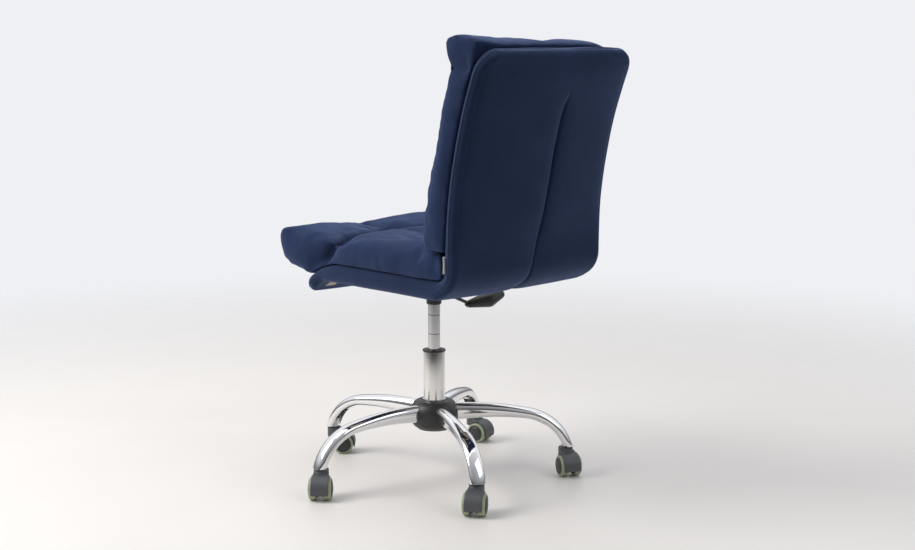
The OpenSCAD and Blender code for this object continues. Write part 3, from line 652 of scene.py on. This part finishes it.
back_crown, seat_crown, back_shoulder, back_dish = 0.013, 0.002, 0.0040, 0.010
crease_half, crease_slope, shoulder_reach, side_bulge = 0.0032, 0.020, 0.042, 0.0012
shell_verts = []
for y, z, dy, dz, thick, share in sections:
    half = shell_half
    near_top = shell_top - z
    if near_top < top_corner and z > seat_top + 0.1:
        half = shell_half - corner_inset(top_corner, near_top)
    from_front = y - sections[0][0]
    if from_front < front_corner and z < seat_top + 0.01:
        half = shell_half - corner_inset(front_corner, from_front)
    edge = min(soft_edge, thick / 2 * 0.96) * min(1.0, share + 0.15)
    high = thick / 2 * share
    edge = min(edge, high * 0.98)
    flat = half - edge
    middle = (y + dy * thick / 2, z + dz * thick / 2)
    up_back = float(smooth_step(z, seat_top + 0.03, seat_top + 0.16))
    up_back *= float(1 - smooth_step(z, shell_top - 0.06, shell_top))
    crown = back_crown * up_back + seat_crown
    shoulder = back_shoulder * up_back
    crease_x = crease_at(y + dy * thick, z + dz * thick)
    across = face_places(crease_x)
    if z > seat_top + 0.02:
        crease = 0.0095 * float(1 - smooth_step(z, 0.865, 0.925)) * (0.45 + 0.55 * up_back)
    else:
        crease = 0.0045 * float(smooth_step(y, 0.16, 0.27))
    top_seam = 0.0016 * math.exp(-((near_top - 0.021) / 0.0022) ** 2) if z > seat_top + 0.1 else 0.0
    up_top = float(smooth_step(z, shell_top - 0.05, shell_top))
    ring = []
    for f in across:
        dish = back_dish * up_back * (1 - f * f)
        ring.append((f * flat, -high + dish))
    for k in range(1, 7):
        a = -math.pi / 2 + math.pi / 2 * k / 6
        ring.append((flat + edge * math.cos(a), -high + edge + edge * math.sin(a)))
    side = high - edge
    for k in range(1, 4):
        bulge = side_bulge * math.sin(math.pi * k / 4)
        ring.append((half + bulge, -side + (2 * side - shoulder) * k / 4))
    for k in range(0, 6):
        a = math.pi / 2 * k / 6
        ring.append((flat + edge * math.cos(a), high - shoulder - edge + edge * math.sin(a)))
    for f in reversed(across):
        x = f * flat
        groove = crease * math.exp(-(abs(x - crease_x) / crease_half) ** 1.4)
        groove += 0.45 * crease * math.exp(-((x - crease_x) / crease_slope) ** 2)
        puff = crown * (1 - f * f) if abs(f) < 1 else 0.0
        past = max(0.0, abs(x) - (flat - shoulder_reach)) / shoulder_reach
        puff -= shoulder * (1 - math.sqrt(max(0.0, 1 - past * past)))
        ring.append((x, high + puff - groove - top_seam * (1 if abs(f) < 0.97 else 0)))
    for k in range(1, 7):
        a = math.pi / 2 * k / 6
        ring.append((-flat - edge * math.sin(a), high - shoulder - edge + edge * math.cos(a)))
    for k in range(1, 4):
        bulge = side_bulge * math.sin(math.pi * k / 4)
        ring.append((-half - bulge, side - shoulder - (2 * side - shoulder) * k / 4))
    for k in range(0, 6):
        a = math.pi / 2 * k / 6
        ring.append((-flat - edge * math.cos(a), -high + edge - edge * math.sin(a)))
    for x, out in ring:
        wave = 0.0011 * noise.noise(Vector((x * 9, y * 9, z * 9)))
        sag = 0.0035 * up_top * (noise.noise(Vector((x * 7 + 3, 0.4, 0))) - 0.3)
        shell_verts.append((x, middle[0] + dy * (out + wave), middle[1] + dz * (out + wave) + sag))
loop = len(ring)
shell_faces = skin(len(sections), loop)
shell_faces.append(tuple(range(loop)))
shell_faces.append(tuple((len(sections) - 1) * loop + j for j in range(loop)))
shell = piece("upholstered_shell", shell_verts, shell_faces, shell_cloth)
smoother = shell.modifiers.new("smoother", "SUBSURF")
smoother.levels = smoother.render_levels = 1
baked(shell)
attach(shell, "seat")
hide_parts("shell_inner_cover", "shell_outer_cover")


# ---------- Underside lining ----------
# A thin beige non-woven cloth is stapled under the seat, from the slope of the front lip to the bend.
lining_cloth = finish("lining_cloth", (0.44, 0.39, 0.32), 0.9, bump=0.0006, bump_scale=1400.0, tone=0.12,
                      tone_scale=90.0, rough_spread=0.04)
lining_half = 0.196
lining_rows = []
for y, z, dy, dz, thick in rows[2:17]:
    lining_rows.append((y + dy * (thick + 0.0006), z + dz * (thick + 0.0006)))
lining_rows += [(y, plate_top - 0.0006 - 0.0009) for y in (-0.04, 0.0, 0.05, 0.1, 0.15, 0.2, 0.212)]
lining_verts = []
lining_steps = 24
for y, z in lining_rows:
    for i in range(lining_steps + 1):
        x = -lining_half + 2 * lining_half * i / lining_steps
        lining_verts.append((x, y, z + 0.0004 * noise.noise(Vector((x * 40, y * 40, 0)))))
lining_faces = [face[::-1] for face in skin(len(lining_rows), lining_steps + 1, loop_shut=False)]
lining = piece("seat_lining", lining_verts, lining_faces, lining_cloth, recalc=False)
thickness = lining.modifiers.new("thickness", "SOLIDIFY")
thickness.thickness = 0.0008
thickness.offset = 0
baked(lining)
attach(lining, "seat")
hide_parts("underside_lining")

# ---------- Staples ----------
# Fine steel wire staples fix the lining's turned edge to the board, about every three centimetres and
# never quite straight.
staple_tree, n, given, result = geometry_tree("staples_along_edge", [
    ("Spacing", "NodeSocketFloat"), ("Crown", "NodeSocketFloat"), ("Wire Radius", "NodeSocketFloat"),
    ("Skew", "NodeSocketFloat"), ("Seed", "NodeSocketInt"), ("Finish", "NodeSocketMaterial")])
edge_curve = n.add("GeometryNodeMeshToCurve", Mesh=given["Geometry"])
spots = n.add("GeometryNodeCurveToPoints", {"mode": "LENGTH"}, Curve=edge_curve.outputs[0],
              Length=given["Spacing"])
right_end = n.add("ShaderNodeCombineXYZ", X=n.math("MULTIPLY", given["Crown"], 0.5))
left_end = n.add("ShaderNodeVectorMath", {"operation": "SCALE"}, Scale=-1.0)
n.put(left_end, "0", right_end.outputs[0])
crown_line = n.add("GeometryNodeCurvePrimitiveLine", Start=left_end.outputs[0], End=right_end.outputs[0])
wire_round = n.add("GeometryNodeCurvePrimitiveCircle", Resolution=6, Radius=given["Wire Radius"])
wire = n.add("GeometryNodeCurveToMesh", Curve=crown_line.outputs[0],
             Profile_Curve=wire_round.outputs[0], Fill_Caps=True)
aim = n.add("FunctionNodeAlignRotationToVector", {"axis": "X"}, Vector=spots.outputs["Tangent"])
chance = n.add("FunctionNodeRandomValue", {"data_type": "FLOAT"}, Seed=given["Seed"])
n.put(chance, "2", n.math("MULTIPLY", given["Skew"], -1.0))
n.put(chance, "3", given["Skew"])
skewed = n.add("ShaderNodeCombineXYZ", Z=chance.outputs[1])
turned_aim = n.add("FunctionNodeRotateRotation", {"rotation_space": "LOCAL"}, Rotation=aim.outputs[0],
                   Rotate_By=skewed.outputs[0])
copies = n.add("GeometryNodeInstanceOnPoints", Points=spots.outputs[0], Instance=wire.outputs[0],
               Rotation=turned_aim.outputs[0])
real = n.add("GeometryNodeRealizeInstances", Geometry=copies.outputs[0])
coated = n.add("GeometryNodeSetMaterial", Geometry=real.outputs[0], Material=given["Finish"])
n.put(result, "Geometry", coated.outputs[0])

staple_inset = 0.006
drop = 0.0007
side_line = [(y, z - drop) for y, z in lining_rows[1:]]
side_line[-1] = (side_line[-1][0] - staple_inset, side_line[-1][1])
edge_x = lining_half - staple_inset
edge_line = [(edge_x, y, z) for y, z in side_line] + [(-edge_x, y, z) for y, z in reversed(side_line)]
edge_mesh = bpy.data.meshes.new("lining_staples")
edge_mesh.from_pydata(edge_line, [(i, (i + 1) % len(edge_line)) for i in range(len(edge_line))], [])
staples = bpy.data.objects.new("lining_staples", edge_mesh)
scene.collection.objects.link(staples)
run_tree(staples, staple_tree, {"Spacing": 0.031, "Crown": 0.010, "Wire Radius": 0.0004,
                                "Skew": 0.16, "Seed": 5, "Finish": plain_steel})
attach(staples, "seat")


# ---------- Seat cushion ----------
# A loose fibre-filled cushion that overhangs the front. Tufting stitches pull it to the shell on its
# centre line, and creases run from them to the sides, where the cloth is pinched in.
cushion_cloth = suede("cushion_suede", (0.0108, 0.0215, 0.0640), (0.0180, 0.0345, 0.0970), 0.40, seed=3.1)
cushion_voxel = 0.0060


def points_of(shape):
    places = np.zeros(len(shape.data.vertices) * 3)
    shape.data.vertices.foreach_get("co", places)
    return places.reshape(-1, 3)


def normals_of(shape):
    ways = np.zeros(len(shape.data.vertices) * 3)
    shape.data.vertices.foreach_get("normal", ways)
    return ways.reshape(-1, 3)


def move_points(shape, places):
    shape.data.vertices.foreach_set("co", places.astype(np.float32).ravel())
    shape.data.update()


def inflate(shape, held, pressure, cap):
    """Fills the cushion: cloth under pressure, held where it is stitched, and never moved past the cap."""
    start = points_of(shape)
    group = shape.vertex_groups.new(name="stitched")
    for level in (1.0, 0.7, 0.4):
        chosen = np.nonzero((held > level - 0.15) & (held <= level + 0.15))[0]
        group.add([int(i) for i in chosen], level, "REPLACE")
    cloth = shape.modifiers.new("fill", "CLOTH")
    settings = cloth.settings
    settings.quality = 6
    settings.mass = 0.25
    settings.tension_stiffness = settings.compression_stiffness = 8
    settings.shear_stiffness = 4
    settings.bending_stiffness = 0.6
    settings.use_pressure = True
    settings.uniform_pressure_force = pressure
    settings.vertex_group_mass = "stitched"
    settings.effector_weights.gravity = 0
    cloth.collision_settings.use_collision = False
    cloth.collision_settings.use_self_collision = False
    for step in range(1, 21):
        scene.frame_set(step)
        bpy.context.view_layer.update()
    mesh = bpy.data.meshes.new_from_object(shape.evaluated_get(bpy.context.evaluated_depsgraph_get()))
    filled = np.zeros(len(mesh.vertices) * 3)
    mesh.vertices.foreach_get("co", filled)
    filled = filled.reshape(-1, 3)
    bpy.data.meshes.remove(mesh)
    shape.modifiers.clear()
    shape.vertex_groups.clear()
    scene.frame_set(1)
    moved = filled - start
    far = np.linalg.norm(moved, axis=1, keepdims=True)
    move_points(shape, start + moved * np.minimum(1.0, cap / np.maximum(far, 1e-9)))


def bell(distance, width):
    return np.exp(-(distance / width) ** 2)


def shell_gap(places):
    """Distance of each point in front of the shell's inner face, and the way out from it in (y, z)."""
    y, z = places[:, 1], places[:, 2]
    gap = z - seat_top
    way_y, way_z = np.zeros(len(y)), np.ones(len(y))
    front = y < front_centre[0]
    dy, dz = y - front_centre[0], z - front_centre[1]
    r = np.hypot(dy, dz)
    gap = np.where(front, r - front_turn, gap)
    way_y, way_z = np.where(front, dy / r, way_y), np.where(front, dz / r, way_z)
    bend = (y > bend_centre[0]) & (z < bend_centre[1])
    dy, dz = y - bend_centre[0], z - bend_centre[1]
    r = np.maximum(np.hypot(dy, dz), 1e-6)
    gap = np.where(bend, inner_turn - r, gap)
    way_y, way_z = np.where(bend, -dy / r, way_y), np.where(bend, -dz / r, way_z)
    back = z >= bend_centre[1]
    dy, dz = y - back_centre[0], z - back_centre[1]
    r = np.hypot(dy, dz)
    back_gap = r - back_turn
    use = back & (back_gap < gap + 0.02)
    gap = np.where(use, back_gap, gap)
    way_y, way_z = np.where(use, dy / r, way_y), np.where(use, dz / r, way_z)
    return gap, way_y, way_z


def rest_on_shell(shape, least):
    """Flattens a cushion where it rests on the shell's inner face."""
    places = points_of(shape)
    gap, way_y, way_z = shell_gap(places)
    inside = (np.abs(places[:, 0]) < shell_half + 0.01) & (places[:, 2] < shell_top + 0.002)
    inside &= places[:, 1] > front_centre[0] - front_turn * math.sin(front_angle) - 0.004
    short = np.where(inside, np.maximum(0.0, least - gap), 0.0)
    places[:, 1] += way_y * short
    places[:, 2] += way_z * short
    move_points(shape, places)


def eased(shape, rounds):
    ease = shape.modifiers.new("ease", "SMOOTH")
    ease.factor = 0.5
    ease.iterations = rounds
    return baked(shape)


def doubled(shape):
    smoother = shape.modifiers.new("smoother", "SUBSURF")
    smoother.levels = smoother.render_levels = 1
    return baked(shape)


def ruffle(shape, amount, size, seed):
    """Small unevenness of the filling under the cloth."""
    places, ways = points_of(shape), normals_of(shape)
    push = np.array([noise.fractal(Vector(p) / size + Vector((seed, 0, 0)), 1.0, 2.0, 3) for p in places])
    move_points(shape, places + ways * (amount * push)[:, None])


def narrow_crease(shape, crease, depth, width):
    """Draws the cloth in along the creases once the mesh is fine enough for them."""
    places, ways = points_of(shape), normals_of(shape)
    line, strength = crease(places, ways)
    move_points(shape, places - ways * (depth * strength * bell(line, width))[:, None])


def puckers(across, along, seed):
    """Small folds that fan out from a tuft, fading at its middle and about a hand's width away."""
    reach, way = np.hypot(across, along), np.arctan2(along, across)
    folds = np.cos(7 * way + seed) + 0.6 * np.cos(11 * way + 2.3 * seed)
    return 0.0026 * folds * np.clip(reach / 0.035, 0, 1) * bell(reach, 0.085)


seat_tufts = [(0.0, -0.165), (0.0, 0.050)]
cushion_half, corner_x = 0.231, 0.228
fill_pressure = 4.5


def seat_line(x, y, z, number):
    """Distance from a crease of the seat cushion: it bows back between the middle and the side, and on
    the side it slants forward as it goes down."""
    tuft_y = seat_tufts[number][1] + 0.75 * (z - 0.475) * smooth_step(np.abs(x), 0.15, 0.225) * (number == 0)
    share = np.clip(np.abs(x) / cushion_half, 0, 1)
    bow = 0.040 * np.sin(share ** 1.3 * math.pi) + 0.010 * share
    return y - tuft_y - (bow if number == 0 else 0.3 * bow)


def stitching(x, along, tufts, line_of, narrow, wide, seam_fade):
    """How deep each point of a cushion is pulled in, and how firmly it is held there. The narrow and wide
    parts of a crease are (depth, extra depth beside, width)."""
    beside = smooth_step(np.abs(x), 0.17, 0.225)
    depth = np.zeros(len(x))
    held = np.zeros(len(x))
    for k, (tuft_x, tuft_along) in enumerate(tufts):
        line = line_of(k)
        strength = np.ones(len(x)) if k == 0 else 0.7 * (1 - smooth_step(np.abs(x), 0.09, 0.16))
        pulls = [strength * (deep + more * beside) * bell(line, width)
                 for deep, more, width in (narrow, wide)]
        depth = np.maximum(depth, pulls[0] + pulls[1])
        tuft = np.hypot(x - tuft_x, along - tuft_along)
        depth = depth + (1.0, 0.8)[k] * (0.014 * bell(tuft, 0.018) + 0.010 * bell(tuft, 0.05))
        depth = depth + puckers(x - tuft_x, along - tuft_along, 1.7 + k)
        sewn = (np.abs(line) < 0.0055) & (strength > 0.4)
        held = np.maximum(held, np.where(sewn, 0.7 + 0.3 * (tuft < 0.012), 0.0))
    lengthwise = 0.008 * bell(x, 0.011) + 0.005 * bell(x, 0.04)
    depth = np.maximum(depth, lengthwise * seam_fade)
    held = np.maximum(held, np.where(np.abs(x) < 0.004, 0.4, 0.0))
    return depth, held


def pad_out(cushion, stitches, crease, crease_depth, faces_shell, cap, unevenness, seed):
    """Pulls a cushion in at its stitches, fills it, lays it on the shell and draws its crease in."""
    depth, held = stitches(points_of(cushion), normals_of(cushion))
    move_points(cushion, points_of(cushion) - normals_of(cushion) * depth[:, None])
    places = points_of(cushion)
    touching = faces_shell(places, normals_of(cushion)) & (shell_gap(places)[0] < 0.012)
    held = np.maximum(held, np.where(touching, 1.0, 0.0))
    inflate(cushion, held, fill_pressure, cap)
    rest_on_shell(cushion, 0.0012)
    eased(cushion, 4)
    ruffle(cushion, unevenness, 0.060, seed)
    doubled(cushion)
    narrow_crease(cushion, crease, crease_depth, 0.0042)
    rest_on_shell(cushion, 0.0010)


def seat_crease(places, ways):
    x, y, z = places.T
    line = seat_line(x, y, z, 0)
    return line, smooth_step(ways[:, 2], -0.30, 0.05) * (0.5 + 0.4 * smooth_step(np.abs(x), 0.15, 0.22))


def seat_stitching(places, ways):
    x, y, z = places.T
    upper_side = smooth_step(ways[:, 2], -0.35, 0.15)
    depth, held = stitching(x, y, seat_tufts, lambda k: seat_line(x, y, z, k), (0.014, 0.006, 0.010),
                            (0.007, 0.005, 0.036), smooth_step(y, -0.285, -0.24))
    return depth * upper_side, held * (upper_side > 0.6)


seat_pad = moulded("seat_pad", "seat_cushion", cushion_cloth, cushion_voxel, 5)
places = points_of(seat_pad)
x, y, z = places.T
nose_y = y.min()
upper = smooth_step(z, seat_top + 0.012, seat_top + 0.050)
along = smooth_step(np.abs(x), 0.12, 0.235)
behind_nose = smooth_step(y, -0.20, -0.13)
corner = bell(np.hypot(np.abs(x) - corner_x, y - nose_y), 0.050)
front_rise = 0.010 * bell(y - nose_y - 0.008, 0.028) + 0.006 * corner
places[:, 2] += upper * (front_rise - 0.008 * along * behind_nose)
places[:, 1] -= upper * 0.007 * corner
places[:, 0] += np.sign(x) * upper * 0.003 * corner
move_points(seat_pad, places)
pad_out(seat_pad, seat_stitching, seat_crease, 0.0065, lambda places, ways: ways[:, 2] < -0.5,
        cap=0.022, unevenness=0.0022, seed=4.0)
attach(seat_pad, "seat")
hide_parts("seat_cushion")

# ---------- Back cushion ----------
# A matching cushion, tied against the back. Its top stands up past the shell and flops forward in two
# soft ears, and a stitched crease crosses it just below them.
back_crease_z = 0.945
back_tufts = [(0.0, back_crease_z), (0.0, 0.735)]


def back_line(x, z, number):
    """Distance from a crease of the back cushion: it dips between the middle and the side."""
    share = np.clip(np.abs(x) / cushion_half, 0, 1)
    return z - back_tufts[number][1] + 0.012 * np.sin(share * math.pi) - (0.010 * share if number == 0 else 0)


def back_crease(places, ways):
    x, y, z = places.T
    return back_line(x, z, 0), smooth_step(-ways[:, 1], 0.05, 0.55) * 0.9


def back_stitching(places, ways):
    x, y, z = places.T
    front_side = smooth_step(-ways[:, 1], -0.30, 0.15)
    depth, held = stitching(x, z, back_tufts, lambda k: back_line(x, z, k), (0.013, -0.005, 0.011),
                            (0.006, -0.003, 0.034), smooth_step(z, 0.58, 0.62))
    return depth * front_side, held * (front_side > 0.6)


back_pad = moulded("back_pad", "back_cushion", cushion_cloth, cushion_voxel, 5)
places = points_of(back_pad)
x, y, z = places.T
top_z = z.max()
ear = smooth_step(z, 0.955, top_z - 0.004)
left_corner = bell(np.hypot(x - corner_x, z - top_z), 0.055)
right_corner = bell(np.hypot(x + 0.240, z - top_z), 0.075)
places[:, 2] += ear * (0.005 * left_corner - 0.022 * right_corner - 0.003 * (1 - left_corner))
places[:, 1] -= ear * 0.006 * left_corner
before = smooth_step(shell_gap(places)[0], 0.015, 0.050)
places[:, 1] -= 0.013 * before * (1 - smooth_step(z, 0.66, 0.80)) * smooth_step(z, 0.565, 0.60)
places[:, 0] += ear * 0.030 * right_corner
move_points(back_pad, places)
pad_out(back_pad, back_stitching, back_crease, 0.0060,
        lambda places, ways: (ways[:, 1] > 0.5) & (places[:, 2] < shell_top),
        cap=0.020, unevenness=0.0024, seed=9.0)
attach(back_pad, "seat")
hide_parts("back_cushion")

# ---------- Sewn-in tag ----------
# A small folded white ribbon tag, caught in the seam beside the back cushion.
tag_cloth = finish("tag_ribbon", (0.80, 0.80, 0.78), 0.75, bump=0.0004, bump_scale=2200.0, tone=0.04,
                   tone_scale=200.0)
lower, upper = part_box("fabric_tag")
tag_verts = []
near_leaf = [(lower.x - 0.004, -0.0004), (lower.x, -0.0005), (upper.x - 0.001, -0.0006),
             (upper.x - 0.0002, -0.0004)]
tag_line = near_leaf + [(upper.x, 0.0)] + [(x, -y) for x, y in reversed(near_leaf)]
tag_rows = 12
tag_mid = (lower.y + upper.y) / 2
for i in range(tag_rows + 1):
    z = lower.z + (upper.z - lower.z) * i / tag_rows
    for x, y in tag_line:
        lean = 0.0010 * math.sin(2.2 * i / tag_rows + 0.4) * (x - lower.x) / (upper.x - lower.x)
        tag_verts.append((x, tag_mid + y + lean, z))
tag_faces = skin(tag_rows + 1, len(tag_line), loop_shut=False)
tag = piece("ribbon_tag", tag_verts, tag_faces, tag_cloth)
ply = tag.modifiers.new("ply", "SOLIDIFY")
ply.thickness = 0.0003
ply.offset = 0
baked(tag)
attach(tag, "seat")
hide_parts("fabric_tag")

# ---------- Casters ----------
# Five twin-wheel casters. A dark grey moulded hood carries a steel stem and axle, and each wheel is a
# dark moulded disc with a soft sage tread pressed on.
hood_plastic = finish("hood_moulding", (0.085, 0.088, 0.096), 0.48, bump=0.0004, bump_scale=1100.0,
                      tone=0.14, tone_scale=90.0, rough_spread=0.08)
wheel_plastic = finish("wheel_moulding", (0.040, 0.042, 0.046), 0.42, bump=0.0003, bump_scale=1200.0,
                       tone=0.18, tone_scale=90.0, rough_spread=0.08)
tread_rubber = finish("tread_rubber", (0.36, 0.41, 0.27), 0.55, bump=0.0004, bump_scale=1300.0,
                      tone=0.10, tone_scale=120.0, rough_spread=0.06)
caster_headings = (45, 35, 63, 102, 137)
trail, axle_height, wheel_gap = 0.022, 0.025, 0.0042


def on_axle(name, node, outline, material, steps=72):
    """A turned wheel piece around the node's axle; its outline is (radius, distance from the inner face)."""
    lower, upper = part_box(node)
    number = int(node[-1])
    leg_way = math.radians(first_heading + 72 * (number - 1))
    stem = Vector((stem_reach * math.cos(leg_way), stem_reach * math.sin(leg_way), 0))
    trail_way = math.radians(caster_headings[number - 1])
    axle = Vector((math.sin(trail_way), -math.cos(trail_way), 0))
    behind = trail * Vector((math.cos(trail_way), math.sin(trail_way), 0))
    centre = stem + behind + Vector((0, 0, axle_height))
    if ((lower + upper) / 2 - centre).dot(axle) < 0:
        axle = -axle
    start = centre + axle * wheel_gap
    up_way = Vector((0, 0, 1))
    across_way = axle.cross(up_way)
    verts = []
    for i in range(steps):
        a = 2 * math.pi * i / steps
        for r, d in outline:
            verts.append(start + axle * d + across_way * (r * math.cos(a)) + up_way * (r * math.sin(a)))
    return piece(name, verts, skin(steps, len(outline), row_shut=True), material)


wheel_outline = [(0.00305, 0.0), (0.0188, 0.0), (0.0194, 0.0006), (0.0194, 0.0208), (0.0190, 0.0216),
                 (0.0182, 0.0219), (0.0174, 0.0216), (0.0170, 0.0208), (0.0166, 0.0204), (0.0160, 0.0208),
                 (0.0150, 0.0217), (0.0120, 0.0228), (0.0080, 0.0236), (0.0050, 0.0238), (0.0046, 0.0232),
                 (0.0042, 0.0232), (0.0038, 0.0239), (0.0, 0.0241), (0.0, 0.020), (0.00305, 0.020)]
tread_outline = rounded_outline([(0.0194, 0.0050), (0.0232, 0.0050), (0.0250, 0.0068), (0.0250, 0.0158),
                                 (0.0243, 0.0190), (0.0222, 0.0210), (0.0194, 0.0210)], 0.0012, 3)
for number in range(1, 6):
    node = "caster_hood_%d" % number
    hood = moulded("caster_fork_%d" % number, node, hood_plastic, 0.0011, 5)
    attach(hood, "caster_%d" % number)
    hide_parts(node)
    dress("caster_pins_%d" % number, plain_steel)
    for side in ("left", "right"):
        body = "%s_wheel_%d" % (side, number)
        node = "wheel_%s_%d" % (side, number)
        disc = on_axle("%s_disc_%d" % (side, number), node, wheel_outline, wheel_plastic)
        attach(disc, body)
        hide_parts(node)
        node = "tread_%s_%d" % (side, number)
        ring = on_axle("%s_tyre_%d" % (side, number), node, tread_outline, tread_rubber)
        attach(ring, body)
        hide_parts(node)

# ---------- Final scene update ---
bpy.context.view_layer.update()
